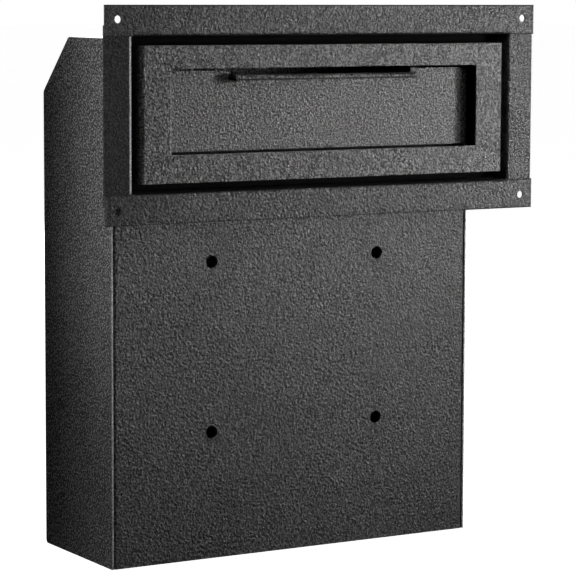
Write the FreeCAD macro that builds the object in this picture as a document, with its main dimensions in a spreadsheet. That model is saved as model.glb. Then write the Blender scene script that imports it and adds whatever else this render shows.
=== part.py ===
"""Through-the-door book drop box: a sheet-steel box bolts to the inside of a door, its snout
reaches through the door, and a flanged trim frame covers the cut-out on the outside.
The patron pulls the recessed flap, and the keeper empties the box by a locked rear door.

Frame: +X to the right seen from the patron's side, -Y towards the patron, +Z up. The mounting
face is y = 0. Heights are drawn from the box's base, and every piece is then lowered by
bolt_rise, so that the origin lies at the centre of the four door bolts."""
import FreeCAD, Part
import os
import re
import Sketcher

doc = FreeCAD.newDocument("book_drop_box")
sheet = doc.addObject("Spreadsheet::Sheet", "Dims")

SIZES = [
    # the box
    ("box_width", 355.6), ("box_height", 444.5), ("box_depth", 129.0),
    ("roof_depth", 79.0), ("chamfer_drop", 47.5),
    ("shell_sheet", 1.9), ("roof_fold", 6.0), ("heel_fold", 3.5), ("panel_fold", 2.9),
    ("panel_flange", 14.0), ("rear_flange", 14.0), ("edge_ease", 0.6),
    # the four door bolts
    ("bolt_rise", 182.4), ("bolt_span_wide", 165.1), ("bolt_span_tall", 146.05), ("bolt_hole", 11.1),
    # the snout and its window
    ("snout_inset", 0.3), ("snout_reach", 54.2), ("snout_rise", 327.7), ("snout_tall", 111.8),
    ("snout_fold", 3.4), ("window_wide", 299.3), ("window_tall", 70.2), ("window_sill", 23.0),
    # the trim frame and the weather seal that carries it on the snout
    ("mouth_play_wide", 6.65), ("mouth_play_tall", 7.6), ("trim_face", 25.4),
    ("trim_reach", 54.0), ("trim_sheet", 2.0), ("trim_fold", 2.6), ("trim_return", 26.0),
    ("trim_lap", 9.0), ("trim_hole", 6.4), ("trim_screw_in", 11.75), ("trim_screw_down", 11.6),
    ("seal_front", 36.0), ("seal_deep", 8.0), ("seal_gap", 0.3),
    # the deposit flap, its tray and its cheeks
    ("flap_sheet", 1.5), ("flap_setback", 13.0), ("flap_gap_side", 2.0), ("flap_gap_low", 1.5),
    ("flap_gap_high", 2.5), ("flap_fold", 2.8), ("tab_wide", 177.8), ("tab_gap", 5.8),
    ("tab_setback", 1.0), ("lip_tall", 7.0), ("tab_relief", 1.0),
    ("axle_drop", 5.7), ("axle_setback", 5.2), ("tray_slope", 24.0), ("tray_reach", 92.0),
    ("tray_flange", 14.0), ("cheek_deep", 60.0), ("cheek_drop", 6.0), ("cheek_round", 58.0),
    ("ear_round", 7.0),
    # the flap's axle and its brackets
    ("axle_wide", 6.0), ("axle_slack", 0.05), ("bracket_gap", 0.8), ("bracket_round", 5.4),
    ("bracket_foot", 16.5), ("bracket_deep", 14.0), ("axle_tail", 3.6),
    ("clip_wide", 12.0), ("clip_sheet", 0.8),
    # the bumpers that the tray rests on, and the fixed baffle
    ("bumper_wide", 10.0), ("bumper_back", 8.0), ("bumper_span", 220.0), ("bumper_gap", 0.3),
    ("baffle_back", 54.5), ("baffle_drop", 58.5), ("baffle_sheet", 1.5), ("baffle_flange", 14.5),
    # the rear opening, its jambs and its door
    ("rear_wide", 311.2), ("rear_tall", 348.0), ("rear_rise", 24.0), ("jamb_deep", 16.0),
    ("jamb_leg", 14.0), ("door_gap", 1.5), ("door_sheet", 1.5), ("door_flange", 14.0),
    ("door_fold", 2.4),
    # the continuous hinge
    ("knuckle_round", 2.6), ("knuckle_lift", 0.4), ("knuckle_inset", 5.0), ("knuckle_gap", 0.3),
    ("leaf_sheet", 1.2), ("leaf_wide", 16.0), ("leaf_gap", 3.0), ("pin_round", 1.2), ("pin_slack", 0.05),
    ("rivet_wide", 3.2), ("rivet_head", 6.2), ("rivet_dome", 1.4), ("rivet_tail", 5.0),
    ("rivet_foot", 1.0), ("rivet_inset", 10.5), ("rivet_end", 24.0),
    # the cam lock
    ("lock_inset", 20.0), ("barrel_wide", 19.0), ("bezel_wide", 25.0), ("bezel_tall", 2.6),
    ("bezel_fold", 1.2), ("plug_wide", 13.0), ("plug_slack", 0.05), ("plug_sunk", 0.4),
    ("nut_flats", 24.0), ("nut_tall", 5.0), ("cam_gap", 0.3), ("cam_sheet", 2.0), ("cam_wide", 14.0),
    ("cam_long", 30.0), ("tang_wide", 7.0), ("shoulder_gap", 0.5), ("keyway_wide", 2.0),
    ("keyway_tall", 8.6), ("keyway_deep", 9.0), ("screw_wide", 3.0), ("screw_head", 9.0),
    ("screw_tall", 2.4), ("screw_grip", 8.0),
]
KNUCKLES = 13
RIVETS = 5

for row, (alias, size) in enumerate(SIZES, start=1):
    sheet.set(f"A{row}", alias)
    sheet.set(f"B{row}", str(size))
    sheet.setAlias(f"B{row}", alias)
doc.recompute()

pieces = []


def bound(text):
    """The expression with each alias read from the sheet."""
    return re.sub(r"\b[a-z]+(?:_[a-z]+)+\b", r"Dims.\g<0>", text)


def size_of(text):
    return float(sheet.evalExpression(bound(text)))


def new_piece(label):
    body = doc.addObject("PartDesign::Body", label)
    body.Label = label
    body.setExpression("Placement.Base.z", bound("-bolt_rise"))
    pieces.append(body)
    return body


def pin_to(sketch, geometry, point, place):
    """Hold one point of the sketch at a pair of expressions."""
    for kind, text in zip(("DistanceX", "DistanceY"), place):
        rule = Sketcher.Constraint(kind, -1, 1, geometry, point, size_of(text))
        index = sketch.addConstraint(rule)
        sketch.setExpression(f"Constraints[{index}]", bound(text))


def draw_circle(sketch, across, up, diameter):
    centre = FreeCAD.Vector(size_of(across), size_of(up), 0)
    radius = size_of(diameter) / 2
    geometry = sketch.addGeometry(Part.Circle(centre, FreeCAD.Vector(0, 0, 1), radius))
    pin_to(sketch, geometry, 3, (across, up))
    index = sketch.addConstraint(Sketcher.Constraint("Diameter", geometry, 2 * radius))
    sketch.setExpression(f"Constraints[{index}]", bound(diameter))


def draw_outline(sketch, corners):
    points = [FreeCAD.Vector(size_of(across), size_of(up), 0) for across, up in corners]
    following = points[1:] + points[:1]
    lines = [sketch.addGeometry(Part.LineSegment(a, b)) for a, b in zip(points, following)]
    for here, after in zip(lines, lines[1:] + lines[:1]):
        sketch.addConstraint(Sketcher.Constraint("Coincident", here, 2, after, 1))
    for geometry, corner in zip(lines, corners):
        pin_to(sketch, geometry, 1, corner)


def draw(body, plane, level, loops):
    """A sketch on one of the body's own planes. A loop is a list of corners, or a circle as
    (across, up, diameter)."""
    sketch = body.newObject("Sketcher::SketchObject", body.Label + "_sketch")
    support = [item for item in body.Origin.OriginFeatures if item.Role == plane + "_Plane"]
    sketch.AttachmentSupport = (support[0], [""])
    sketch.MapMode = "FlatFace"
    sketch.setExpression("AttachmentOffset.Base.z", bound(level))
    for loop in loops:
        if isinstance(loop, tuple):
            draw_circle(sketch, *loop)
        else:
            draw_outline(sketch, loop)
    return sketch


def sheet_on(body, plane, low, thickness, loops):
    """Add the loops as a sheet that lies between low and low + thickness along the plane's
    own axis. The XZ plane looks along -Y, so its sketch stands at the sheet's far side."""
    level = f"-({low} + {thickness})" if plane == "XZ" else low
    sketch = draw(body, plane, level, loops)
    pad = body.newObject("PartDesign::Pad", body.Label + "_pad")
    pad.Profile = sketch
    pad.setExpression("Length", bound(thickness))
    doc.recompute()


def cut_from(body, plane, low, depth, loops):
    """Cut the loops out of the body between low and low + depth."""
    level = f"-({low})" if plane == "XZ" else f"{low} + {depth}"
    before = body.Tip.Shape.Volume
    sketch = draw(body, plane, level, loops)
    pocket = body.newObject("PartDesign::Pocket", body.Label + "_pocket")
    pocket.Profile = sketch
    pocket.setExpression("Length", bound(depth))
    doc.recompute()
    if pocket.Shape.Volume > before - 0.01:
        raise RuntimeError(f"{body.Label}: a pocket cuts nothing")


def fold(body, plane, radius, corners):
    """Round the edges that stand square to the plane on these corners of an outline."""
    wanted = [(size_of(across), size_of(up)) for across, up in corners]
    names = []
    for number, edge in enumerate(body.Tip.Shape.Edges, start=1):
        ends = [seen_on(plane, vertex.Point) for vertex in edge.Vertexes]
        for across, up in wanted:
            if len(ends) == 2 and all(abs(x - across) + abs(y - up) < 1e-4 for x, y in ends):
                names.append(f"Edge{number}")
    round_edges(body, radius, names)


def seen_on(plane, point):
    """The two coordinates of a point that its shadow on the plane has."""
    return {"XY": (point.x, point.y), "XZ": (point.x, point.z), "YZ": (point.y, point.z)}[plane]


def round_rims(body, radius, plane_y, rim_diameter):
    """Round the circular edges of this diameter that lie in the plane y = plane_y."""
    names = []
    for number, edge in enumerate(body.Tip.Shape.Edges, start=1):
        if not isinstance(edge.Curve, Part.Circle):
            continue
        right_size = abs(2 * edge.Curve.Radius - size_of(rim_diameter)) < 1e-4
        if right_size and abs(edge.Curve.Center.y - size_of(plane_y)) < 1e-4:
            names.append(f"Edge{number}")
    round_edges(body, radius, names)


def round_edges(body, radius, names):
    if not names:
        raise RuntimeError(f"{body.Label}: no edge to round")
    base = body.Tip
    fillet = body.newObject("PartDesign::Fillet", body.Label + "_fold")
    fillet.Base = (base, names)
    fillet.setExpression("Radius", bound(radius))
    doc.recompute()


def oblong(left, right, low, high):
    return [(left, low), (right, low), (right, high), (left, high)]


def plain_sheet(label, plane, low, thickness, loops):
    body = new_piece(label)
    sheet_on(body, plane, low, thickness, loops)
    return body


# ---- the box's own planes and edges, used again and again below
outer = "box_width / 2"
inner = "(box_width / 2 - shell_sheet)"
flange_in = "(box_width / 2 - 2 * shell_sheet)"
back_out = "box_depth"
back_in = "(box_depth - shell_sheet)"
roof_in = "(box_height - shell_sheet)"
shoulder = "(box_height - chamfer_drop)"
rear_seam = f"({shoulder} - rear_flange)"
roof_turn = "atan(chamfer_drop / (box_depth - roof_depth))"
rear_turn = "atan((box_depth - roof_depth) / chamfer_drop)"
snout_width = "(box_width - 2 * snout_inset)"
snout_top = "(snout_rise + snout_tall)"
snout_mid = "(snout_rise + snout_tall / 2)"
snout_in = f"({snout_width} / 2 - shell_sheet)"
snout_floor_top = "(snout_rise + shell_sheet)"
snout_roof_low = f"({snout_top} - shell_sheet)"
window_rise = "(snout_rise + window_sill)"
window_top = f"({window_rise} + window_tall)"
mouth_wide = f"({snout_width} + 2 * mouth_play_wide)"
mouth_tall = "(snout_tall + 2 * mouth_play_tall)"
trim_wide = f"({mouth_wide} + 2 * trim_face)"
trim_tall = f"({mouth_tall} + 2 * trim_face)"
trim_screw_wide = f"({trim_wide} - 2 * trim_screw_in)"
trim_screw_tall = f"({trim_tall} - 2 * trim_screw_down)"
rear_top = "(rear_rise + rear_tall)"
rear_mid = "(rear_rise + rear_tall / 2)"


# ---- side panels: flat five-sided plates outside everything else
side_outline = [("0", "0"), (back_out, "0"), (back_out, shoulder), ("roof_depth", "box_height"),
                ("0", "box_height")]
for side, low in (("left", f"-{outer}"), ("right", inner)):
    body = new_piece(f"side_panel_{side}")
    sheet_on(body, "YZ", low, "shell_sheet", [side_outline])
    fold(body, "YZ", "roof_fold", side_outline[2:4])
    fold(body, "YZ", "heel_fold", side_outline[1:2])
    fold(body, "XY", "edge_ease", [(low, "0"), (f"{low} + shell_sheet", "0")])

# ---- front panel: a channel whose flanges lie inside the side panels, with the bolt holes
channel = [(f"-{inner}", "panel_flange"), (f"-{inner}", "0"), (inner, "0"), (inner, "panel_flange"),
           (flange_in, "panel_flange"), (flange_in, "shell_sheet"), (f"-{flange_in}", "shell_sheet"),
           (f"-{flange_in}", "panel_flange")]
bolt_holes = [(f"{x} * bolt_span_wide / 2", f"bolt_rise + {z} * bolt_span_tall / 2", "bolt_hole")
              for x in (-1, 1) for z in (-1, 1)]
body = new_piece("front_panel")
sheet_on(body, "XY", "0", "snout_rise", [channel])
fold(body, "XY", "panel_fold", channel[1:3])
fold(body, "XY", "panel_fold - shell_sheet", channel[5:7])
cut_from(body, "XZ", "0", "shell_sheet", bolt_holes)

# ---- bottom, back and roof panels
bottom = [(f"-{flange_in}", "shell_sheet"), (flange_in, "shell_sheet"), (flange_in, "panel_flange"),
          (inner, "panel_flange"), (inner, back_in), (f"-{inner}", back_in),
          (f"-{inner}", "panel_flange"), (f"-{flange_in}", "panel_flange")]
body = new_piece("bottom_panel")
sheet_on(body, "XY", "0", "shell_sheet", [bottom])
fold(body, "XY", "panel_fold - shell_sheet", bottom[:2])

rivet_rows = [f"rear_rise + rivet_end + {step} * (rear_tall - 2 * rivet_end) / {RIVETS - 1}"
              for step in range(RIVETS)]
hinge_across = "(rear_wide / 2 - door_gap / 2)"
hinge_behind = "(box_depth + knuckle_lift + knuckle_round)"
box_rivet_across = f"{hinge_across} + rivet_inset"
door_rivet_across = f"{hinge_across} - rivet_inset"
rear_hole = oblong("-rear_wide / 2", "rear_wide / 2", "rear_rise", rear_top)
back_outline = oblong(f"-{inner}", inner, "0", rear_seam)
box_rivet_holes = [(box_rivet_across, up, "rivet_wide") for up in rivet_rows]
body = new_piece("back_panel")
sheet_on(body, "XZ", back_in, "shell_sheet", [back_outline, rear_hole] + box_rivet_holes)
fold(body, "YZ", "shell_sheet * 0.9", side_outline[1:2])

roof = [("0", snout_roof_low), ("0", "box_height"), ("roof_depth", "box_height"),
        (back_out, shoulder), (back_out, rear_seam), (back_in, rear_seam),
        (back_in, f"{shoulder} - shell_sheet * tan({rear_turn} / 2)"),
        (f"roof_depth - shell_sheet * tan({roof_turn} / 2)", roof_in),
        ("shell_sheet", roof_in), ("shell_sheet", snout_roof_low)]
body = new_piece("roof_panel")
sheet_on(body, "YZ", f"-{inner}", f"2 * {inner}", [roof])
fold(body, "YZ", "panel_fold", roof[1:2])
fold(body, "YZ", "panel_fold - shell_sheet", roof[8:9])
fold(body, "YZ", "roof_fold", roof[2:4])
fold(body, "YZ", "roof_fold - shell_sheet", roof[6:8])

# ---- snout: a hood bent from one sheet, with a floor and a roof between its cheeks
hood = [(f"-{snout_width} / 2", "0"), (f"-{snout_width} / 2", "-snout_reach"),
        (f"{snout_width} / 2", "-snout_reach"), (f"{snout_width} / 2", "0"),
        (snout_in, "0"), (snout_in, "shell_sheet - snout_reach"),
        (f"-{snout_in}", "shell_sheet - snout_reach"), (f"-{snout_in}", "0")]
window = oblong("-window_wide / 2", "window_wide / 2", window_rise, window_top)
body = new_piece("snout_hood")
sheet_on(body, "XY", "snout_rise", "snout_tall", [hood])
fold(body, "XY", "snout_fold", hood[1:3])
fold(body, "XY", "snout_fold - shell_sheet", hood[5:7])
cut_from(body, "XZ", "-snout_reach", "shell_sheet", [window])

for label, low, seam in (("snout_floor", "snout_rise", "shell_sheet"), ("snout_roof", snout_roof_low, "0")):
    web = oblong(f"-{snout_in}", snout_in, "shell_sheet - snout_reach", seam)
    body = new_piece(label)
    sheet_on(body, "XY", low, "shell_sheet", [web])
    fold(body, "XY", "snout_fold - shell_sheet", web[:2])

# ---- weather seal: a foam ring round the snout, a hair inside the trim's returns
seal_across = f"({mouth_wide} / 2 - seal_gap)"
seal_half = f"({mouth_tall} / 2 - seal_gap)"
plain_sheet("weather_seal", "XZ", "-seal_front", "seal_deep",
            [oblong(f"-{seal_across}", seal_across, f"{snout_mid} - {seal_half}",
                    f"{snout_mid} + {seal_half}"),
             oblong(f"-{snout_width} / 2", f"{snout_width} / 2", "snout_rise", snout_top)])

# ---- trim frame: four angle strips, the upright ones tucked behind the level ones
trim_front = "-trim_reach"
trim_rear = "(trim_return - trim_reach)"
for end, sign in (("top", "1"), ("bottom", "-1")):
    lip = f"{snout_mid} + {sign} * {mouth_tall} / 2"
    lip_back = f"{snout_mid} + {sign} * ({mouth_tall} / 2 + trim_sheet)"
    rim = f"{snout_mid} + {sign} * {trim_tall} / 2"
    level_back = f"{trim_front} + trim_sheet"
    angle = [(trim_front, rim), (trim_front, lip), (trim_rear, lip), (trim_rear, lip_back),
             (level_back, lip_back), (level_back, rim)]
    screw_up = f"{snout_mid} + {sign} * {trim_screw_tall} / 2"
    body = new_piece(f"trim_{end}")
    sheet_on(body, "YZ", f"-{mouth_wide} / 2", mouth_wide, [angle])
    fold(body, "YZ", "trim_fold", angle[1:2])
    fold(body, "YZ", "trim_fold - trim_sheet", angle[4:5])
    sheet_on(body, "XZ", trim_front, "trim_sheet",
             [oblong(f"{side} * {mouth_wide} / 2", f"{side} * {trim_wide} / 2", lip, rim)
              for side in (-1, 1)])
    cut_from(body, "XZ", trim_front, "trim_sheet",
             [(f"{side} * {trim_screw_wide} / 2", screw_up, "trim_hole") for side in (-1, 1)])

strip_front = "trim_sheet - trim_reach"
for side, sign in (("left", "-1"), ("right", "1")):
    lip = f"{sign} * {mouth_wide} / 2"
    lip_back = f"{sign} * ({mouth_wide} / 2 + trim_sheet)"
    rim = f"{sign} * {trim_wide} / 2"
    strip_back = f"{strip_front} + trim_sheet"
    angle = [(rim, strip_front), (lip, strip_front), (lip, trim_rear), (lip_back, trim_rear),
             (lip_back, strip_back), (rim, strip_back)]
    body = new_piece(f"trim_{side}")
    sheet_on(body, "XY", f"{snout_mid} - {mouth_tall} / 2", mouth_tall, [angle])
    fold(body, "XY", "trim_fold", angle[1:2])
    fold(body, "XY", "trim_fold - trim_sheet", angle[4:5])
    ends = [oblong(f"{lip} + {sign} * trim_fold", rim, f"{snout_mid} {way} {mouth_tall} / 2",
                   f"{snout_mid} {way} ({mouth_tall} / 2 + trim_lap)") for way in ("-", "+")]
    sheet_on(body, "XZ", strip_front, "trim_sheet", ends)

# ---- deposit flap: a plate behind the window with its pull tab folded out of the top edge
axle_back = "(flap_setback - snout_reach + axle_setback)"
axle_rise = f"({window_rise} - axle_drop)"
flap_front = "(flap_setback - snout_reach)"
flap_back = f"({flap_front} + flap_sheet)"
flap_low = f"({window_rise} + flap_gap_low)"
flap_top = f"({window_top} - flap_gap_high)"
flap_half = "(window_wide / 2 - flap_gap_side)"
tab_top = f"({window_top} - tab_gap)"
tab_root = f"({tab_top} - flap_fold - tab_relief)"
lip_front = "(tab_setback - snout_reach)"
notch = f"(tab_wide / 2 + tab_relief)"
flap_plate = [(f"-{flap_half}", flap_low), (flap_half, flap_low), (flap_half, flap_top),
              (notch, flap_top), (notch, tab_root), (f"-{notch}", tab_root), (f"-{notch}", flap_top),
              (f"-{flap_half}", flap_top)]
tab = [(flap_front, tab_root), (flap_back, tab_root), (flap_back, tab_top), (lip_front, tab_top),
       (lip_front, f"{tab_top} - lip_tall"), (f"{lip_front} + flap_sheet", f"{tab_top} - lip_tall"),
       (f"{lip_front} + flap_sheet", f"{tab_top} - flap_sheet"), (flap_front, f"{tab_top} - flap_sheet")]
body = new_piece("flap_panel")
sheet_on(body, "XZ", flap_front, "flap_sheet", [flap_plate])
sheet_on(body, "YZ", "-tab_wide / 2", "tab_wide", [tab])
fold(body, "YZ", "flap_fold", tab[2:4])
fold(body, "YZ", "flap_fold - flap_sheet", tab[6:8])

# ---- tray: slopes back from the flap's foot, so that deposits slide into the box
def tray_under(back):
    """Height of the tray's underside at this distance behind the mounting face."""
    return f"({flap_low} - ({back} - {flap_back}) * tan(tray_slope))"


tray_tip = f"({flap_back} + tray_reach * cos(tray_slope))"
tray_tip_low = f"({flap_low} - tray_reach * sin(tray_slope))"
cheek_in = f"({flap_half} - flap_sheet)"
tray = [(flap_back, f"{flap_low} + tray_flange"), (flap_back, flap_low), (tray_tip, tray_tip_low),
        (f"{tray_tip} + flap_sheet * sin(tray_slope)", f"{tray_tip_low} + flap_sheet * cos(tray_slope)"),
        (f"{flap_back} + flap_sheet",
         f"{flap_low} + flap_sheet * (cos(tray_slope) - (1 - sin(tray_slope)) * tan(tray_slope))"),
        (f"{flap_back} + flap_sheet", f"{flap_low} + tray_flange")]
body = new_piece("flap_tray")
sheet_on(body, "YZ", f"-{cheek_in}", f"2 * {cheek_in}", [tray])
fold(body, "YZ", "flap_fold", tray[1:2])
fold(body, "YZ", "flap_fold - flap_sheet", tray[4:5])

# ---- cheeks: close the sides of the open flap, and carry it on the axle
cheek_tip = f"({axle_back} + cheek_deep)"
cheek_high = f"({flap_top} - cheek_drop)"
ear_low = f"({axle_rise} - ear_round - 0.5)"
ear_back = f"({axle_back} + ear_round)"
cheek = [(flap_back, cheek_high), (cheek_tip, cheek_high), (cheek_tip, tray_under(cheek_tip)),
         (ear_back, tray_under(ear_back)), (ear_back, ear_low), (flap_front, ear_low),
         (flap_front, flap_low), (flap_back, flap_low)]
axle_hole = (axle_back, axle_rise, "axle_wide + 2 * axle_slack")
for side, low in (("left", f"-{flap_half}"), ("right", cheek_in)):
    body = new_piece(f"flap_cheek_{side}")
    sheet_on(body, "YZ", low, "flap_sheet", [cheek, axle_hole])
    fold(body, "YZ", "cheek_round", cheek[1:2])
    fold(body, "YZ", "ear_round * 0.7", cheek[4:6])

# ---- axle, its clips and the two brackets that stand on the snout's floor
bracket_near = f"({flap_half} + bracket_gap)"
bracket_far = f"({bracket_near} + shell_sheet)"
bracket_top = f"({axle_rise} + bracket_round)"
ear_front = f"({axle_back} - bracket_deep / 2)"
axle_half = f"({bracket_far} + clip_sheet + axle_tail)"
for side, sign in (("left", "-1"), ("right", "1")):
    foot = f"{sign} * ({bracket_near} + bracket_foot)"
    near = f"{sign} * {bracket_near}"
    far = f"{sign} * {bracket_far}"
    body = new_piece(f"hinge_bracket_{side}")
    sheet_on(body, "XZ", ear_front, "bracket_deep",
             [[(near, bracket_top), (near, snout_floor_top), (foot, snout_floor_top),
               (foot, f"{snout_floor_top} + shell_sheet"), (far, f"{snout_floor_top} + shell_sheet"),
               (far, bracket_top)]])
    low = near if sign == "1" else far
    fold(body, "YZ", "bracket_round",
         [(ear_front, bracket_top), (f"{ear_front} + bracket_deep", bracket_top)])
    cut_from(body, "YZ", low, "shell_sheet", [axle_hole])

plain_sheet("flap_axle", "YZ", f"-{axle_half}", f"2 * {axle_half}", [(axle_back, axle_rise, "axle_wide")])
body = new_piece("axle_clips")
clip_ring = [(axle_back, axle_rise, "clip_wide"), (axle_back, axle_rise, "axle_wide")]
for low in (bracket_far, f"-({bracket_far} + clip_sheet)"):
    sheet_on(body, "YZ", low, "clip_sheet", clip_ring)

# ---- rubber bumpers under the tray, and the fixed baffle that blocks a reaching hand
bumper_top = tray_under("(bumper_wide / 2 - bumper_back)")
plain_sheet("tray_bumpers", "XY", snout_floor_top, f"({bumper_top} - bumper_gap - {snout_floor_top})",
            [(f"{side} * bumper_span / 2", "-bumper_back", "bumper_wide") for side in (-1, 1)])

baffle_face = "(baffle_back + baffle_sheet)"
baffle = [(baffle_face, roof_in), (f"{baffle_face} - baffle_flange", roof_in),
          (f"{baffle_face} - baffle_flange", f"{roof_in} - baffle_sheet"),
          ("baffle_back", f"{roof_in} - baffle_sheet"), ("baffle_back", "box_height - baffle_drop"),
          (baffle_face, "box_height - baffle_drop")]
body = new_piece("fishing_baffle")
sheet_on(body, "YZ", f"-{inner}", f"2 * {inner}", [baffle])
fold(body, "YZ", "flap_fold", baffle[:1])
fold(body, "YZ", "flap_fold - baffle_sheet", baffle[3:4])

# ---- jambs: angles round the rear opening. The lock's cam hooks behind one of them
jamb_end = f"({back_in} - jamb_deep)"
jamb_face = f"({back_in} - shell_sheet)"
for label, sign in (("jamb_lock_side", "-1"), ("jamb_hinge_side", "1")):
    edge = f"{sign} * rear_wide / 2"
    leg = f"{sign} * (rear_wide / 2 + shell_sheet)"
    wing = f"{sign} * (rear_wide / 2 + jamb_leg)"
    angle = [(edge, back_in), (edge, jamb_end), (leg, jamb_end), (leg, jamb_face), (wing, jamb_face),
             (wing, back_in)]
    body = new_piece(label)
    sheet_on(body, "XY", "rear_rise - shell_sheet", "rear_tall + 2 * shell_sheet", [angle])
    if label == "jamb_hinge_side":
        cut_from(body, "XZ", jamb_face, "shell_sheet", box_rivet_holes)

for label, edge, sign in (("jamb_bottom", "rear_rise", "-1"), ("jamb_top", rear_top, "1")):
    leg = f"{edge} + {sign} * shell_sheet"
    wing = f"{edge} + {sign} * jamb_leg"
    angle = [(back_in, edge), (jamb_end, edge), (jamb_end, leg), (jamb_face, leg), (jamb_face, wing),
             (back_in, wing)]
    plain_sheet(label, "YZ", "-rear_wide / 2", "rear_wide", [angle])

# ---- rear door: a pan whose flanges stand into the opening
door_half = "(rear_wide / 2 - door_gap)"
door_low = "(rear_rise + door_gap)"
door_high = f"({rear_top} - door_gap)"
lock_across = f"(lock_inset - {door_half})"
door_rim = oblong(f"-{door_half}", door_half, door_low, door_high)
door_hollow = oblong(f"door_sheet - {door_half}", f"{door_half} - door_sheet",
                     f"{door_low} + door_sheet", f"{door_high} - door_sheet")
door_rivet_holes = [(door_rivet_across, up, "rivet_wide") for up in rivet_rows]
body = new_piece("rear_door")
sheet_on(body, "XZ", "box_depth - door_flange", "door_flange", [door_rim])
cut_from(body, "XZ", "box_depth - door_flange", "door_flange - door_sheet", [door_hollow])
cut_from(body, "XZ", "box_depth - door_sheet", "door_sheet",
         [(lock_across, rear_mid, "barrel_wide")] + door_rivet_holes)
fold(body, "XZ", "door_fold * 0.5", door_rim)

# ---- continuous hinge: two leaves with alternate knuckles, and a pin through them all
hinge_low = "(rear_rise + knuckle_inset)"
pitch = f"((rear_tall - 2 * knuckle_inset) / {KNUCKLES})"
bore = (hinge_across, hinge_behind, "2 * (pin_round + pin_slack)")
for label, sign, first, holes in (("hinge_leaf_box", "1", 0, box_rivet_holes),
                                  ("hinge_leaf_door", "-1", 1, door_rivet_holes)):
    root = f"{hinge_across} + {sign} * leaf_gap"
    rim = f"{hinge_across} + {sign} * (leaf_gap + leaf_wide)"
    body = new_piece(label)
    sheet_on(body, "XZ", "box_depth", "leaf_sheet",
             [oblong(root, rim, hinge_low, f"{hinge_low} + {KNUCKLES} * {pitch}")] + holes)
    tongue = oblong(f"{hinge_across} + {sign} * (pin_round + pin_slack + 0.2)", root,
                    "box_depth", "box_depth + leaf_sheet")
    for step in range(first, KNUCKLES, 2):
        low = f"{hinge_low} + {step} * {pitch} + knuckle_gap / 2"
        sheet_on(body, "XY", low, f"({pitch} - knuckle_gap)", [tongue])
        sheet_on(body, "XY", low, f"({pitch} - knuckle_gap)",
                 [(hinge_across, hinge_behind, "2 * knuckle_round"), bore])
plain_sheet("hinge_pin", "XY", hinge_low, f"({KNUCKLES} * {pitch})",
            [(hinge_across, hinge_behind, "2 * pin_round")])

# ---- rivets of the hinge: domed head outside, clinched foot inside
for label, across, foot_face in (("hinge_rivets_box", box_rivet_across, jamb_face),
                                 ("hinge_rivets_door", door_rivet_across, "(box_depth - door_sheet)")):
    body = new_piece(label)
    head_face = "(box_depth + leaf_sheet)"
    sheet_on(body, "XZ", head_face, "rivet_dome", [(across, up, "rivet_head") for up in rivet_rows])
    sheet_on(body, "XZ", foot_face, f"({head_face} - {foot_face})",
             [(across, up, "rivet_wide") for up in rivet_rows])
    sheet_on(body, "XZ", f"({foot_face} - rivet_foot)", "rivet_foot",
             [(across, up, "rivet_tail") for up in rivet_rows])
    round_rims(body, "rivet_dome * 0.9", f"{head_face} + rivet_dome", "rivet_head")

# ---- cam lock: housing and nut on the door, and a plug that turns with the cam
cam_front = f"({jamb_end} - cam_gap)"
cam_back = f"({cam_front} - cam_sheet)"
barrel_end = f"({cam_front} + shoulder_gap)"
plug_bore = (lock_across, rear_mid, "plug_wide + 2 * plug_slack")
body = new_piece("lock_housing")
sheet_on(body, "XZ", "box_depth", "bezel_tall", [(lock_across, rear_mid, "bezel_wide"), plug_bore])
sheet_on(body, "XZ", barrel_end, f"(box_depth - {barrel_end})",
         [(lock_across, rear_mid, "barrel_wide"), plug_bore])
round_rims(body, "bezel_fold", "box_depth + bezel_tall", "bezel_wide")

hexagon = [(f"{lock_across} + nut_flats / 2 / cos(30) * cos({turn})",
            f"{rear_mid} + nut_flats / 2 / cos(30) * sin({turn})") for turn in range(0, 360, 60)]
plain_sheet("lock_nut", "XZ", "(box_depth - door_sheet - nut_tall)", "nut_tall",
            [hexagon, (lock_across, rear_mid, "barrel_wide")])

tang = oblong(f"{lock_across} - tang_wide / 2", f"{lock_across} + tang_wide / 2",
              f"{rear_mid} - tang_wide / 2", f"{rear_mid} + tang_wide / 2")
plug_face = "(box_depth + bezel_tall - plug_sunk)"
body = new_piece("lock_plug")
sheet_on(body, "XZ", cam_front, f"({plug_face} - {cam_front})", [(lock_across, rear_mid, "plug_wide")])
sheet_on(body, "XZ", cam_back, "cam_sheet", [tang])
cut_from(body, "XZ", cam_back, "screw_grip", [(lock_across, rear_mid, "screw_wide")])
cut_from(body, "XZ", f"({plug_face} - keyway_deep)", "keyway_deep",
         [oblong(f"{lock_across} - keyway_wide / 2", f"{lock_across} + keyway_wide / 2",
                 f"{rear_mid} - keyway_tall / 2", f"{rear_mid} + keyway_tall / 2")])

# drawn as it hangs when unlocked, pointing down; a quarter turn takes it behind the jamb
cam = oblong(f"{lock_across} - cam_wide / 2", f"{lock_across} + cam_wide / 2",
             f"{rear_mid} - cam_long", f"{rear_mid} + cam_wide / 2")
body = new_piece("lock_cam")
sheet_on(body, "XZ", cam_back, "cam_sheet", [cam, tang])
fold(body, "XZ", "cam_wide * 0.45", cam)

body = new_piece("cam_screw")
sheet_on(body, "XZ", f"({cam_back} - screw_tall)", "screw_tall", [(lock_across, rear_mid, "screw_head")])
sheet_on(body, "XZ", cam_back, "screw_grip", [(lock_across, rear_mid, "screw_wide")])
round_rims(body, "screw_tall * 0.6", f"{cam_back} - screw_tall", "screw_head")

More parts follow.
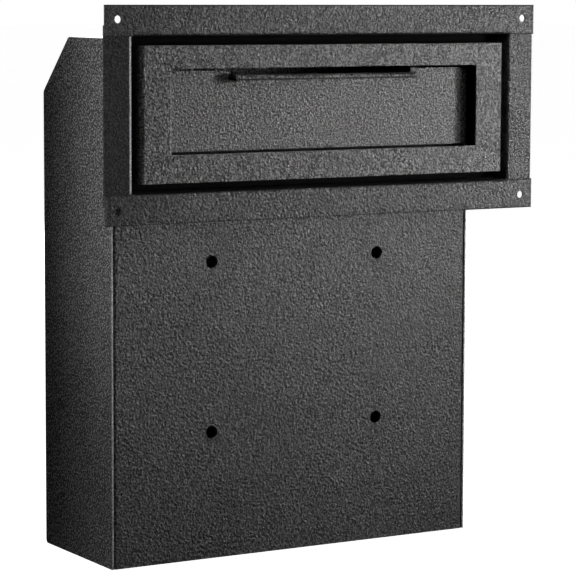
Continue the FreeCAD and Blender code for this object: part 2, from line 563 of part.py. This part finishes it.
# ---- check everything, then write one file for each piece
doc.recompute()
for item in doc.Objects:
    if "Invalid" in item.State or "Error" in item.State:
        raise RuntimeError(f"{item.Label} did not recompute: {item.State}")
for piece in pieces:
    if piece.Shape.isNull() or not piece.Shape.isValid():
        raise RuntimeError(f"{piece.Label} has no valid shape")
os.makedirs("parts", exist_ok=True)
for piece in pieces:
    piece.Shape.exportStep(f"parts/{piece.Label}.step")
    box = piece.Shape.BoundBox
    print(f"{piece.Label:20s} solids {len(piece.Shape.Solids):2d}  volume {piece.Shape.Volume:10.1f}  "
          f"x {box.XMin:7.1f} {box.XMax:7.1f}  y {box.YMin:6.1f} {box.YMax:6.1f}  "
          f"z {box.ZMin:7.1f} {box.ZMax:7.1f}")
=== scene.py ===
"""Looks of a through-the-door book drop box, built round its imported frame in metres."""
import bpy
import math
from mathutils import Matrix, Vector


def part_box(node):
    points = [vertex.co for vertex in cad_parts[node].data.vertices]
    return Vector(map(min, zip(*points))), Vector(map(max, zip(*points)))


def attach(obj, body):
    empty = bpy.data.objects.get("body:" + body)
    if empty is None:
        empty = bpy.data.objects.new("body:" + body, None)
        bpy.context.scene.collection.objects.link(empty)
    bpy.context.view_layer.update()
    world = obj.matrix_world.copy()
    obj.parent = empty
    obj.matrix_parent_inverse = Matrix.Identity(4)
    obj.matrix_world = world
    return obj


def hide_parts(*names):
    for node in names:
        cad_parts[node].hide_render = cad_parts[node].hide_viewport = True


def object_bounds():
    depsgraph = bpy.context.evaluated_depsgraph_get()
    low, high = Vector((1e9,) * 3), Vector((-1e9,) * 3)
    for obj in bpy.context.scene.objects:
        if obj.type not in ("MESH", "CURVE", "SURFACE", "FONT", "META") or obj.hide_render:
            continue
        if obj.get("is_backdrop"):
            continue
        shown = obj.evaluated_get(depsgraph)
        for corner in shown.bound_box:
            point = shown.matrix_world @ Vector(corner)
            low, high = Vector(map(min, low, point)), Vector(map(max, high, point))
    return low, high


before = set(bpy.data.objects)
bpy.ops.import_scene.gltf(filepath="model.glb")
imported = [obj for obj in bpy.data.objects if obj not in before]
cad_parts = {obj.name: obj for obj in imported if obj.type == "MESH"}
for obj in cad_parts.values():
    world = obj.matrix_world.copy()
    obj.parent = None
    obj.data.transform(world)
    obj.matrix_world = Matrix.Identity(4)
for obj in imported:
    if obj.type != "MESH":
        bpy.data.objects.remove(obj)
cad_box = [list(corner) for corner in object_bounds()]


# ---- side panels: two flat five-sided plates of 2 mm steel, the outermost sheets of the box,
# blanked, welded to the front channel and the roof, and baked in textured black powder coat.
# Their front cut edges stay in sight beside the front panel's bends, with a painted highlight
# along them.
class Shade:
    """One output in a node tree. Arithmetic on it adds Math nodes, and add() adds any other."""

    def __init__(self, tree, out=None):
        self.tree = tree
        self.out = out

    def add(self, kind, settings=(), inputs=(), output=0):
        """A node of this kind: its settings first, then values or links for its inputs."""
        node = self.tree.nodes.new(kind)
        for name, value in dict(settings).items():
            setattr(node, name, value)
        for name, value in dict(inputs).items():
            if isinstance(value, Shade):
                self.tree.links.new(value.out, node.inputs[name])
            else:
                node.inputs[name].default_value = value
        return Shade(self.tree, node.outputs[output]) if node.outputs else None

    def maths(self, operation, *values):
        return self.add("ShaderNodeMath", {"operation": operation}, enumerate(values))

    def __add__(self, other):
        return self.maths("ADD", self, other)

    def __radd__(self, other):
        return self.maths("ADD", other, self)

    def __sub__(self, other):
        return self.maths("SUBTRACT", self, other)

    def __rsub__(self, other):
        return self.maths("SUBTRACT", other, self)

    def __mul__(self, other):
        return self.maths("MULTIPLY", self, other)

    def __rmul__(self, other):
        return self.maths("MULTIPLY", other, self)

    def __truediv__(self, other):
        return self.maths("DIVIDE", self, other)

    def __pow__(self, other):
        return self.maths("POWER", self, other)

    def __abs__(self):
        return self.maths("ABSOLUTE", self)

    def at_least(self, other):
        return self.maths("MAXIMUM", self, other)

    def at_most(self, other):
        return self.maths("MINIMUM", self, other)

    def between(self, low, high):
        """0 below low, 1 above high, and a smooth climb from one to the other."""
        return self.add("ShaderNodeMapRange", {"interpolation_type": "SMOOTHSTEP"},
                        {"Value": self, "From Min": low, "From Max": high})

    def band(self, up_from, up_to, down_from, down_to):
        """1 between the middle two limits, 0 outside the outer two."""
        return self.between(up_from, up_to) * (1 - self.between(down_from, down_to))

    def along(self, axis):
        return self.add("ShaderNodeSeparateXYZ", {}, {"Vector": self}, axis)

    def moved(self, offset):
        return self.add("ShaderNodeVectorMath", {"operation": "ADD"}, {0: self, 1: offset})

    def stretched(self, factors):
        return self.add("ShaderNodeVectorMath", {"operation": "MULTIPLY"}, {0: self, 1: factors})

    def noise(self, grain, detail=2.0, roughness=0.5, distortion=0.0):
        """Noise whose features are about this many metres across, from 0 to 1."""
        inputs = {"Vector": self, "Scale": 1 / grain, "Detail": detail, "Roughness": roughness,
                  "Distortion": distortion}
        return self.add("ShaderNodeTexNoise", {"normalize": True}, inputs, "Fac")

    def cells(self, size, settings):
        inputs = {"Vector": self, "Scale": 1 / size}
        return self.add("ShaderNodeTexVoronoi", settings, inputs, "Distance")

    def tint(self, dark, light):
        """This value as a colour between two others, of which the first may be a link. Sockets
        0, 6 and 7 are the Mix node's factor and its two colours, and output 2 is the mix."""
        inputs = {0: self, 6: dark if isinstance(dark, Shade) else (*dark, 1), 7: (*light, 1)}
        return self.add("ShaderNodeMix", {"data_type": "RGBA"}, inputs, 2)


def new_material(name):
    """An empty material, and the point on the piece's surface in metres."""
    material = bpy.data.materials.new(name)
    material.use_nodes = True
    material.node_tree.nodes.clear()
    point = Shade(material.node_tree).add("ShaderNodeTexCoord", output="Object")
    return material, point


def finish_material(material, point, constants, **varying):
    """Close the tree with a Principled shader: constants are numbers, varying ones are links."""
    shader = point.add("ShaderNodeBsdfPrincipled", {}, {**constants, **varying})
    point.add("ShaderNodeOutputMaterial", {}, {"Surface": shader})
    return material


def bumped(height, depth):
    """The surface's normal where this height, from 0 to about 1, stands this many metres out."""
    inputs = {"Height": height, "Distance": depth, "Strength": 1.0}
    return height.add("ShaderNodeBump", {}, inputs, "Normal")


def dress(material, *names):
    for name in names:
        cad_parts[name].material_slots[0].material = material


COAT_GRAIN = 0.0023
COAT_DEPTH = 0.0010
FLECK_GRAIN = 0.0016
FLECK_FADE = 0.18
PATCH_GRAIN = 0.05
COAT_BLACK = (0.0020, 0.0020, 0.0025)
HIGHLIGHT_PALE = (0.95, 0.95, 0.95)


def powder_coat(name, offset, pale=0.18, rough=0.25, sparse=0.43, painted_highlight=None, joints_and_painted_shade=None):
    """Textured black powder coat: low wandering wrinkles with a fine orange peel on their
    crests, and flecks as pale as given where the powder has clotted, fewer the higher sparse
    is. offset moves the pattern, so that no two sheets share it. The last two arguments are
    masks, worked out from the surface point: where a highlight is painted in pale along an
    edge, with a smoother coat there, and where dark joint lines and painted shade are laid
    in, on a rougher coat."""
    material, point = new_material(name)
    place = point.moved(offset)
    wrinkle = place.noise(COAT_GRAIN, detail=1.5, roughness=0.45, distortion=0.7)
    pits = place.cells(COAT_GRAIN * 0.9, {"feature": "SMOOTH_F1"})
    peel = place.noise(COAT_GRAIN * 0.3, detail=1.0)
    patches = place.noise(PATCH_GRAIN, detail=3.0, roughness=0.6)
    flecks = place.noise(FLECK_GRAIN, detail=0.0).between(sparse, sparse + FLECK_FADE)
    height = wrinkle * 0.85 + pits * 0.45 + peel * 0.22
    gloss = rough + 0.16 * peel - 0.10 * wrinkle + 0.08 * patches
    share = 0.82 * flecks + 0.18 * patches
    # Painted shade and dark joints: the mask darkens the flecks and roughens the coat.
    if joints_and_painted_shade is not None:
        darkening = joints_and_painted_shade(point)
        gloss = gloss + 0.45 * darkening
        share = share * (1 - 0.9 * darkening)
    colour = share.tint(COAT_BLACK, (pale, pale * 0.985, pale * 0.985))
    # Painted highlight: the mask lays pale colour along an edge and smooths the coat there.
    if painted_highlight is not None:
        highlight_share = painted_highlight(point)
        height = height * (1 - 0.85 * highlight_share)
        gloss = gloss * (1 - 0.3 * highlight_share)
        colour = (highlight_share * (0.55 + 0.45 * flecks)).tint(colour, HIGHLIGHT_PALE)
    return finish_material(material, point, {"Specular IOR Level": 0.62}, **{
        "Base Color": colour, "Roughness": gloss, "Normal": bumped(height, COAT_DEPTH)})


def cut_edge_highlight(point):
    """A painted highlight on the panels' cut edges, which lie in the plane y = 0 that the door
    bears on.
    """
    return 1 - point.along("Y").between(0.0003, 0.0009)


# The left side's flecks are far paler and sparser than the right side's, as painted glints on the
# same powder coat.
dress(powder_coat("left_side_coat", (0.13, 0.71, 0.37), pale=0.60, rough=0.48, sparse=0.49,
                  painted_highlight=cut_edge_highlight), "side_panel_left")
dress(powder_coat("right_side_coat", (0.83, 0.29, 0.55), painted_highlight=cut_edge_highlight),
      "side_panel_right")

# ---- front panel: one channel of sheet steel with a flange folded back along each side, and
# four drilled holes for the bolts that hold the box to the door. The same coat as the sides.
dress(powder_coat("front_coat", (0.41, 0.17, 0.93)), "front_panel")

# ---- bottom and back panels: plain plates let in between the side panels; the back one is
# cut out for the rear door. Coated inside and out with the rest of the box.
dress(powder_coat("floor_coat", (0.57, 0.61, 0.23)), "bottom_panel")
dress(powder_coat("back_coat", (0.19, 0.47, 0.79)), "back_panel")

# ---- roof panel: header, roof, chamfer and a short rear flange, all bent from one sheet over
# large radii, and welded between the side panels.
dress(powder_coat("roof_coat", (0.67, 0.05, 0.31)), "roof_panel")

# ---- snout: a hood whose face and two cheeks are one bent sheet, with a floor and a roof plate
# welded inside it. It reaches through the door, and its face is cut out for the flap.
FLAP_GAP = 0.0020
CUT_SHARE = 0.3
hood_low, hood_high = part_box("snout_hood")
flap_low, flap_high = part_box("flap_panel")


def hood_painted_highlight(point):
    """A painted highlight on the hood's right-hand bend and, more faintly, on the cut edge on the
    left of its window, which clears the flap by a gap on each side."""
    across, rise = point.along("X"), point.along("Z")
    in_front = 1 - point.along("Y").between(hood_low.y + 0.0005, hood_low.y + 0.0015)
    bend = across.between(hood_high.x - 0.0010, hood_high.x - 0.0004)
    cut = (across + (flap_high.x + FLAP_GAP)).band(-0.0011, -0.0005, 0.0002, 0.0006)
    window = rise.band(flap_low.z - 0.0012, flap_low.z, flap_high.z, flap_high.z + 0.0012)
    return in_front * (bend + CUT_SHARE * cut * window).at_most(1.0)


# The snout's flecks are paler than the box's, as painted light, with a painted highlight on its
# right-hand bend and window edge.
dress(powder_coat("snout_coat", (0.29, 0.89, 0.11), pale=0.28, painted_highlight=hood_painted_highlight), "snout_hood")
dress(powder_coat("snout_inner_coat", (0.97, 0.53, 0.43)), "snout_floor", "snout_roof")

# ---- weather seal: a ring of closed-cell foam strip stuck round the snout, mitred at the
# corners. It is soft, so its edges are rounded, its faces crowned and its sides a little wavy.
SEAL_SIDES = 26
SEAL_STEPS = 40
SEAL_INSET = 0.00025
SEAL_WAVE = 0.00018
seal_low, seal_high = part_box("weather_seal")


def seal_section(turn):
    """Across (0 at the snout, 1 at the outside) and along the snout (0 to 1) on a squarish
    oval, which is the strip's section."""
    side = math.cos(turn)
    end = math.sin(turn)
    swell = (abs(side) ** 5 + abs(end) ** 5) ** (-1 / 5)
    return 0.5 + 0.5 * side * swell, 0.5 + 0.5 * end * swell


def seal_point(across, along, corner, share):
    """A point that is this share of the way from one mitred corner of the ring to the next."""
    half_wide = hood_high.x + (seal_high.x - hood_high.x) * across
    high = hood_high.z + (seal_high.z - hood_high.z) * across
    low = hood_low.z + (seal_low.z - hood_low.z) * across
    corners = [Vector((-half_wide, 0, low)), Vector((half_wide, 0, low)),
               Vector((half_wide, 0, high)), Vector((-half_wide, 0, high))]
    place = corners[corner].lerp(corners[(corner + 1) % 4], share)
    travelled = (corner + share) * SEAL_STEPS
    wave = SEAL_WAVE * math.sin(travelled * 0.61) * (1 - abs(2 * across - 1)) * (2 * along - 1)
    deep = seal_high.y - seal_low.y - 2 * SEAL_INSET
    place.y = seal_low.y + SEAL_INSET + deep * along + wave
    return place


seal_points = []
for corner in range(4):
    for step in range(SEAL_STEPS):
        for index in range(SEAL_SIDES):
            across, along = seal_section(math.tau * index / SEAL_SIDES)
            seal_points.append(seal_point(across, along, corner, step / SEAL_STEPS))
rings = 4 * SEAL_STEPS
seal_faces = []
for ring in range(rings):
    for index in range(SEAL_SIDES):
        beside = (index + 1) % SEAL_SIDES
        after = (ring + 1) % rings
        seal_faces.append((ring * SEAL_SIDES + index, ring * SEAL_SIDES + beside,
                           after * SEAL_SIDES + beside, after * SEAL_SIDES + index))


def mesh_piece(name, points, faces, material):
    """A new piece with outward faces and soft shading, standing at the origin."""
    mesh = bpy.data.meshes.new(name)
    mesh.from_pydata([tuple(point) for point in points], [], faces)
    mesh.validate()
    mesh.shade_smooth()
    piece = bpy.data.objects.new(name, mesh)
    bpy.context.scene.collection.objects.link(piece)
    piece.data.materials.append(material)
    return piece


material, point = new_material("seal_foam")
pores = point.cells(0.0007, {"feature": "F1"})
lumps = point.noise(0.004, detail=2.0)
foam = finish_material(material, point, {"Specular IOR Level": 0.12}, **{
    "Base Color": (pores * 1.2).tint((0.0008, 0.0008, 0.0008), (0.006, 0.006, 0.006)),
    "Roughness": 0.82 + 0.12 * lumps, "Normal": bumped(pores * 0.7 + lumps * 0.5, 0.0005)})
seal = mesh_piece("seal_strip", seal_points, seal_faces, foam)
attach(seal, "box")
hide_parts("weather_seal")

# ---- trim frame: four angle strips welded into one flange that covers the cut-out in the door.
# The two upright strips are tucked behind the level ones, which shows as a fine joint line.
# Width of the dark lines along the level strips' long edges (joint lines inside, a painted shadow
# line outside), and the length over which the painted shade on their left-hand ends fades out.
EDGE_LINE = 0.0006
LEFT_SHADE_FADE = 0.09
trim_low, trim_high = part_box("trim_bottom")
strip_low, strip_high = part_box("trim_left")
trim_middle = (trim_low.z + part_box("trim_top")[1].z) / 2


def level_strip_joints_and_shade(point):
    """Dark lines along the level strips' long edges, at the joints along the inner ones and as a
    painted shadow line along the outer ones, and painted shade on the flanges that they turn
    back into the mouth and, fading out over the given length, on their left-hand ends."""
    off_middle = abs(point.along("Z") - trim_middle)
    outside = trim_middle - trim_low.z
    inside = trim_middle - trim_high.z
    outer_edge = off_middle.between(outside - 2 * EDGE_LINE, outside - EDGE_LINE)
    inner_edge = 1 - off_middle.between(inside + EDGE_LINE, inside + 2 * EDGE_LINE)
    left_end = 1 - point.along("X").between(trim_low.x, trim_low.x + LEFT_SHADE_FADE)
    return_flange = point.along("Y").between(trim_low.y + 0.0030, trim_low.y + 0.0045)
    return (outer_edge + inner_edge).at_least(return_flange).at_least(0.45 * left_end)


def left_strip_painted_highlight(point):
    """A painted highlight on the bend along the mouth."""
    bend = point.along("X").between(strip_high.x - 0.0030, strip_high.x - 0.0022)
    return bend * (1 - point.along("Y").between(strip_low.y + 0.0012, strip_low.y + 0.0024))


# The level strips' coat is darkened at the joints, and with painted shade along their outer
# edges, turned-back flanges and left-hand ends.
dress(powder_coat("trim_level_coat", (0.07, 0.37, 0.83), pale=0.14, joints_and_painted_shade=level_strip_joints_and_shade),
      "trim_top", "trim_bottom")
# The left strip's coat is darker and rougher than the other strips', as painted shade, with a
# painted highlight along its bend.
dress(powder_coat("trim_left_coat", (0.49, 0.73, 0.59), pale=0.05, rough=0.62,
                  painted_highlight=left_strip_painted_highlight), "trim_left")
dress(powder_coat("trim_right_coat", (0.61, 0.11, 0.03), pale=0.13), "trim_right")

# ---- deposit flap: a plate with its pull tab and hooked lip folded out of its own top edge,
# and a tray and two cheeks welded behind it, so that it tips open as a hopper.
LIP_DROP = 0.0070
TAB_HALF = 0.0895
lip_foot = flap_high.z - LIP_DROP


def under_lip(point):
    """A dark line across the tab's width, at the foot of the lip that hangs from the flap's
    top, where the shade under the lip would be."""
    line = point.along("Z").band(lip_foot - 0.0014, lip_foot - 0.0008,
                                 lip_foot + 0.0002, lip_foot + 0.0007)
    return line * (1 - abs(point.along("X")).between(TAB_HALF, TAB_HALF + 0.001))


# The flap's flecks are paler than the box's, as painted light, and a dark line is painted as the
# shadow under the lip.
dress(powder_coat("flap_coat", (0.91, 0.79, 0.67), pale=0.33, joints_and_painted_shade=under_lip), "flap_panel")
dress(powder_coat("tray_coat", (0.23, 0.43, 0.07)),
      "flap_tray", "flap_cheek_left", "flap_cheek_right")

# ---- flap axle, its clips and brackets: a ground steel rod, zinc plated, that the cheeks turn
# on, kept by a spring clip at each end in two coated brackets on the snout's floor.
dress(powder_coat("bracket_coat", (0.03, 0.59, 0.97)),
      "hinge_bracket_left", "hinge_bracket_right")


def zinc_plate(name, grain_factors, rough=0.42):
    """Bright zinc on steel, with drawing marks stretched along the piece's own grain."""
    material, point = new_material(name)
    streaks = point.stretched(grain_factors).noise(0.0006, detail=2.0)
    clouds = point.noise(0.006, detail=3.0, roughness=0.6)
    colour = (0.5 * streaks + 0.5 * clouds).tint((0.40, 0.40, 0.39), (0.66, 0.66, 0.64))
    return finish_material(material, point, {"Metallic": 0.75}, **{
        "Base Color": colour, "Roughness": rough + 0.18 * clouds - 0.10 * streaks,
        "Normal": bumped(streaks * 0.6 + clouds * 0.4, 0.00004)})


dress(zinc_plate("axle_zinc", (0.03, 1, 1)), "flap_axle")
dress(zinc_plate("clip_zinc", (1, 1, 1), rough=0.28), "axle_clips")

# ---- tray bumpers: two moulded rubber buttons on the snout's floor that the flap's tray comes
# down on. A shallow dish in the crown of each takes its fixing.
material, point = new_material("bumper_rubber")
bloom = point.noise(0.003, detail=3.0, roughness=0.6)
rubber = finish_material(material, point, {"Specular IOR Level": 0.35}, **{
    "Base Color": bloom.tint((0.006, 0.006, 0.006), (0.022, 0.022, 0.021)),
    "Roughness": 0.62 + 0.22 * bloom, "Normal": bumped(bloom, 0.00012)})


def button_row_tree():
    """Round buttons in a row: each stands on z = 0, has a crowned top with a dish in its
    middle, is turned to face the row's own way and is then set out along the row."""
    tree = bpy.data.node_groups.new("button_row", "GeometryNodeTree")
    for name, kind in (("Count", "NodeSocketInt"), ("First", "NodeSocketVector"),
                       ("Step", "NodeSocketVector"), ("Turn", "NodeSocketVector"),
                       ("Radius", "NodeSocketFloat"), ("Edge", "NodeSocketFloat"),
                       ("Crown", "NodeSocketFloat"), ("Dish Radius", "NodeSocketFloat"),
                       ("Dish Depth", "NodeSocketFloat"), ("Material", "NodeSocketMaterial")):
        tree.interface.new_socket(name, in_out="INPUT", socket_type=kind)
    tree.interface.new_socket("Geometry", in_out="OUTPUT", socket_type="NodeSocketGeometry")
    group_input = tree.nodes.new("NodeGroupInput")
    given = {out.name: Shade(tree, out) for out in group_input.outputs if out.name}
    radius, edge, crown = given["Radius"], given["Edge"], given["Crown"]
    dish_radius, dish_depth = given["Dish Radius"], given["Dish Depth"]

    blank = radius.add("GeometryNodeMeshCylinder", {"fill_type": "TRIANGLE_FAN"},
                       {"Vertices": 40, "Side Segments": 2, "Fill Segments": 14,
                        "Radius": radius, "Depth": 2.0}, "Mesh")
    place = radius.add("GeometryNodeInputPosition")
    across = (place.along("X") ** 2 + place.along("Y") ** 2) ** 0.5
    inside = (1 - (across / radius) ** 2).at_least(0.0)
    dish = (across / dish_radius).between(0.75, 1.0)
    top = edge + crown * inside ** 0.5 - dish_depth * (1 - dish)
    share = place.along("Z") * 0.5 + 0.5
    lifted = place.add("ShaderNodeCombineXYZ", {}, {
        "X": place.along("X"), "Y": place.along("Y"), "Z": top * share})
    button = blank.add("GeometryNodeSetPosition", {}, {"Geometry": blank, "Position": lifted})
    button = button.add("GeometryNodeTransform", {}, {
        "Geometry": button, "Rotation": given["Turn"]})
    row = button.add("GeometryNodeMeshLine", {}, {
        "Count": given["Count"], "Start Location": given["First"], "Offset": given["Step"]})
    set_out = row.add("GeometryNodeInstanceOnPoints", {}, {"Points": row, "Instance": button})
    real = set_out.add("GeometryNodeRealizeInstances", {}, {"Geometry": set_out})
    dressed = real.add("GeometryNodeSetMaterial", {}, {
        "Geometry": real, "Material": given["Material"]})
    smooth = dressed.add("GeometryNodeSetShadeSmooth", {}, {
        "Geometry": dressed, "Shade Smooth": True})
    smooth.add("NodeGroupOutput", {}, {"Geometry": smooth})
    return tree


button_row = button_row_tree()


def buttons(name, **sizes):
    """A plain mesh made by the button tree with these sizes."""
    maker = bpy.data.objects.new(name + "_maker", bpy.data.meshes.new(name + "_maker"))
    bpy.context.scene.collection.objects.link(maker)
    modifier = maker.modifiers.new("row", "NODES")
    modifier.node_group = button_row
    for item in button_row.interface.items_tree:
        key = item.name.lower().replace(" ", "_")
        if item.in_out == "INPUT" and key in sizes:
            modifier[item.identifier] = sizes[key]
    made = maker.evaluated_get(bpy.context.evaluated_depsgraph_get())
    mesh = bpy.data.meshes.new_from_object(made)
    maker.modifiers.remove(modifier)
    bpy.data.objects.remove(maker)
    mesh.name = name
    piece = bpy.data.objects.new(name, mesh)
    bpy.context.scene.collection.objects.link(piece)
    return piece


CROWN_SHARE = 0.22
low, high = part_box("tray_bumpers")
bumper_radius = (high.y - low.y) / 2
bumper_tall = high.z - low.z
bumpers = buttons("bumper_buttons", count=2, turn=(0.0, 0.0, 0.0),
                  first=(low.x + bumper_radius, (low.y + high.y) / 2, low.z),
                  step=(high.x - low.x - 2 * bumper_radius, 0.0, 0.0), radius=bumper_radius,
                  edge=bumper_tall * (1 - CROWN_SHARE), crown=bumper_tall * CROWN_SHARE,
                  dish_radius=0.0022, dish_depth=0.0012, material=rubber)
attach(bumpers, "box")
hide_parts("tray_bumpers")

# ---- fishing baffle: a bent plate that hangs inside from the roof behind the flap, so that no
# hand reaches the books. Coated like the box.
dress(powder_coat("baffle_coat", (0.53, 0.97, 0.19)), "fishing_baffle")

# ---- jambs and rear door: four angles stiffen the rear opening, and the door is a shallow pan
# whose flanges stand into it. Both are coated.
dress(powder_coat("jamb_coat", (0.31, 0.23, 0.71)), "jamb_lock_side", "jamb_hinge_side",
      "jamb_bottom", "jamb_top")
dress(powder_coat("door_coat", (0.77, 0.67, 0.47)), "rear_door")

# ---- continuous hinge: two rolled steel leaves on one pin, zinc plated, held to the back panel
# and to the door by blind rivets, whose spent stems leave a dish in every head.
dress(zinc_plate("leaf_zinc", (1, 1, 0.04)), "hinge_leaf_box", "hinge_leaf_door")
dress(zinc_plate("pin_zinc", (1, 1, 0.03), rough=0.28), "hinge_pin")
rivet_zinc = zinc_plate("rivet_zinc", (1, 1, 1), rough=0.30)
RIVETS = 5
LEAF_THICK = 0.0012
FOOT_RADIUS = 0.0025
leaf_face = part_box("hinge_leaf_box")[0].y + LEAF_THICK
for node, body in (("hinge_rivets_box", "box"), ("hinge_rivets_door", "door")):
    low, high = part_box(node)
    head_radius = (high.x - low.x) / 2
    across = (low.x + high.x) / 2
    spacing = (high.z - low.z - 2 * head_radius) / (RIVETS - 1)
    head_tall = high.y - leaf_face
    row = {"count": RIVETS, "step": (0.0, 0.0, spacing), "material": rivet_zinc}
    heads = buttons(node + "_heads", first=(across, leaf_face, low.z + head_radius),
                    turn=(-math.pi / 2, 0.0, 0.0), radius=head_radius, edge=head_tall * 0.2,
                    crown=head_tall * 0.8, dish_radius=0.0011, dish_depth=head_tall * 0.55, **row)
    feet = buttons(node + "_feet", first=(across, low.y + 0.001, low.z + head_radius),
                   turn=(math.pi / 2, 0.0, 0.0), radius=FOOT_RADIUS, edge=0.0004,
                   crown=0.0006, dish_radius=0.0008, dish_depth=0.0002, **row)
    for piece in (heads, feet):
        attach(piece, body)
    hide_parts(node)

# ---- cam lock: a chromed housing and plug through the door, held by a nut, and a zinc-plated
# cam on the plug's end that swings behind the jamb.
material, point = new_material("lock_chrome_plate")
swirls = point.noise(0.0009, detail=2.0)
wiped = point.noise(0.007, detail=3.0, roughness=0.6)
chrome = finish_material(material, point, {"Metallic": 0.7}, **{
    "Base Color": wiped.tint((0.62, 0.62, 0.63), (0.80, 0.80, 0.81)),
    "Roughness": 0.20 + 0.14 * wiped * swirls, "Normal": bumped(swirls, 0.000006)})
dress(chrome, "lock_housing", "lock_plug")
dress(zinc_plate("cam_zinc", (1, 1, 0.2)), "lock_cam", "lock_nut", "cam_screw")

# ---- studio floor and backdrop: a plain pale sweep of paper that the box stands on, under an
# even white surround. Neither lights the box, so that the lamps alone set its tones.
material, point = new_material("studio_white")
paper = point.noise(0.4, detail=1.0)
paper_constants = {"Specular IOR Level": 0.0, "Emission Strength": 1.0}
studio_white = finish_material(material, point, paper_constants, **{
    "Base Color": paper.tint((0.80, 0.80, 0.80), (0.83, 0.83, 0.83)),
    "Emission Color": paper.tint((0.98, 0.98, 0.98), (1.0, 1.0, 1.0)),
    "Roughness": 0.9 + 0.1 * paper})
REACH = 30.0
ground = cad_box[0][2]
floor = mesh_piece("studio_floor", [(-REACH, -REACH, ground), (REACH, -REACH, ground),
                                    (REACH, REACH, ground), (-REACH, REACH, ground)],
                   [(0, 1, 2, 3)], studio_white)
floor.visible_glossy = False
floor.visible_diffuse = False
floor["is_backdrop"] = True

world = bpy.data.worlds.new("studio")
bpy.context.scene.world = world
world.use_nodes = True
background = world.node_tree.nodes["Background"]
background.inputs["Color"].default_value = (1.0, 1.0, 1.0, 1.0)
background.inputs["Strength"].default_value = 1.0
world.cycles_visibility.glossy = False
world.cycles_visibility.diffuse = False
bpy.context.scene.view_settings.view_transform = "Standard"

# ---- soft lamps: three to the right of the patron's side, no higher than the snout, two narrow
# strips that rake the front of the left side, and five broad ones round the box that keep the
# rest from the dark. None shows in view.
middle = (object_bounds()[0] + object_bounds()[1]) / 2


def soft_lamp(name, place, wide, tall, watts, aim=middle, spread=180):
    """A soft box of this width and height in metres, turned to face its aim."""
    lamp = bpy.data.lights.new(name, "AREA")
    lamp.shape = "RECTANGLE"
    lamp.size = wide
    lamp.size_y = tall
    lamp.energy = watts
    lamp.spread = math.radians(spread)
    holder = bpy.data.objects.new(name, lamp)
    bpy.context.scene.collection.objects.link(holder)
    holder.location = place
    holder.rotation_euler = (Vector(aim) - Vector(place)).to_track_quat("-Z", "Y").to_euler()
    holder.visible_camera = False


soft_lamp("key_lamp", (1.35, -1.25, 0.20), 0.3, 0.3, 0.50, aim=(0.18, 0.0, 0.23), spread=36)
soft_lamp("low_lamp", (1.35, -1.25, 0.05), 0.5, 0.5, 0.15, aim=(0.15, 0.0, 0.23), spread=40)
soft_lamp("wide_lamp", (1.10, -1.60, 0.05), 0.4, 0.5, 0.34, aim=(0.0, 0.0, 0.20), spread=60)
soft_lamp("upper_side_lamp", (-0.90, 0.35, 0.50), 0.06, 0.7, 0.112,
          aim=(-0.178, -0.03, 0.36), spread=21)
soft_lamp("lower_side_lamp", (-0.90, 0.35, 0.20), 0.06, 0.7, 0.052,
          aim=(-0.178, -0.03, 0.00), spread=21)
soft_lamp("front_lamp", (1.3, -2.6, 1.4), 2.6, 1.2, 7)
soft_lamp("right_lamp", (2.6, 0.3, 0.8), 1.2, 1.2, 14)
soft_lamp("left_lamp", (-2.4, -0.9, 1.1), 1.2, 1.2, 2)
soft_lamp("top_lamp", (-0.3, 0.2, 2.6), 1.6, 1.6, 10)
soft_lamp("back_lamp", (0.9, 2.8, 1.0), 1.6, 1.6, 50)

# ---- camera: stands about 2.3 m off and looks at the patron's side from the left, a little
# above the middle, through a long lens. Yaw, pitch and roll are its three turns.
CAMERA_PLACE = (-1.1470, -1.9350, 0.3024)
YAW = math.radians(30.491)
PITCH = math.radians(6.061)
ROLL = math.radians(0.208)
camera = bpy.data.objects.new("camera", bpy.data.cameras.new("camera"))
bpy.context.scene.collection.objects.link(camera)
camera.data.sensor_width = 36
camera.data.lens = 163.74
camera.data.shift_y = -0.0347
camera.data.clip_start = 0.05
camera.data.clip_end = 100
ahead = Vector((math.sin(YAW) * math.cos(PITCH), math.cos(YAW) * math.cos(PITCH),
                -math.sin(PITCH)))
level = Vector((math.cos(YAW), -math.sin(YAW), 0))
upright = level.cross(ahead)
right = level * math.cos(ROLL) + upright * math.sin(ROLL)
up = upright * math.cos(ROLL) - level * math.sin(ROLL)
turn = Matrix((right, up, -ahead)).transposed().to_4x4()
camera.matrix_world = Matrix.Translation(CAMERA_PLACE) @ turn
bpy.context.scene.camera = camera
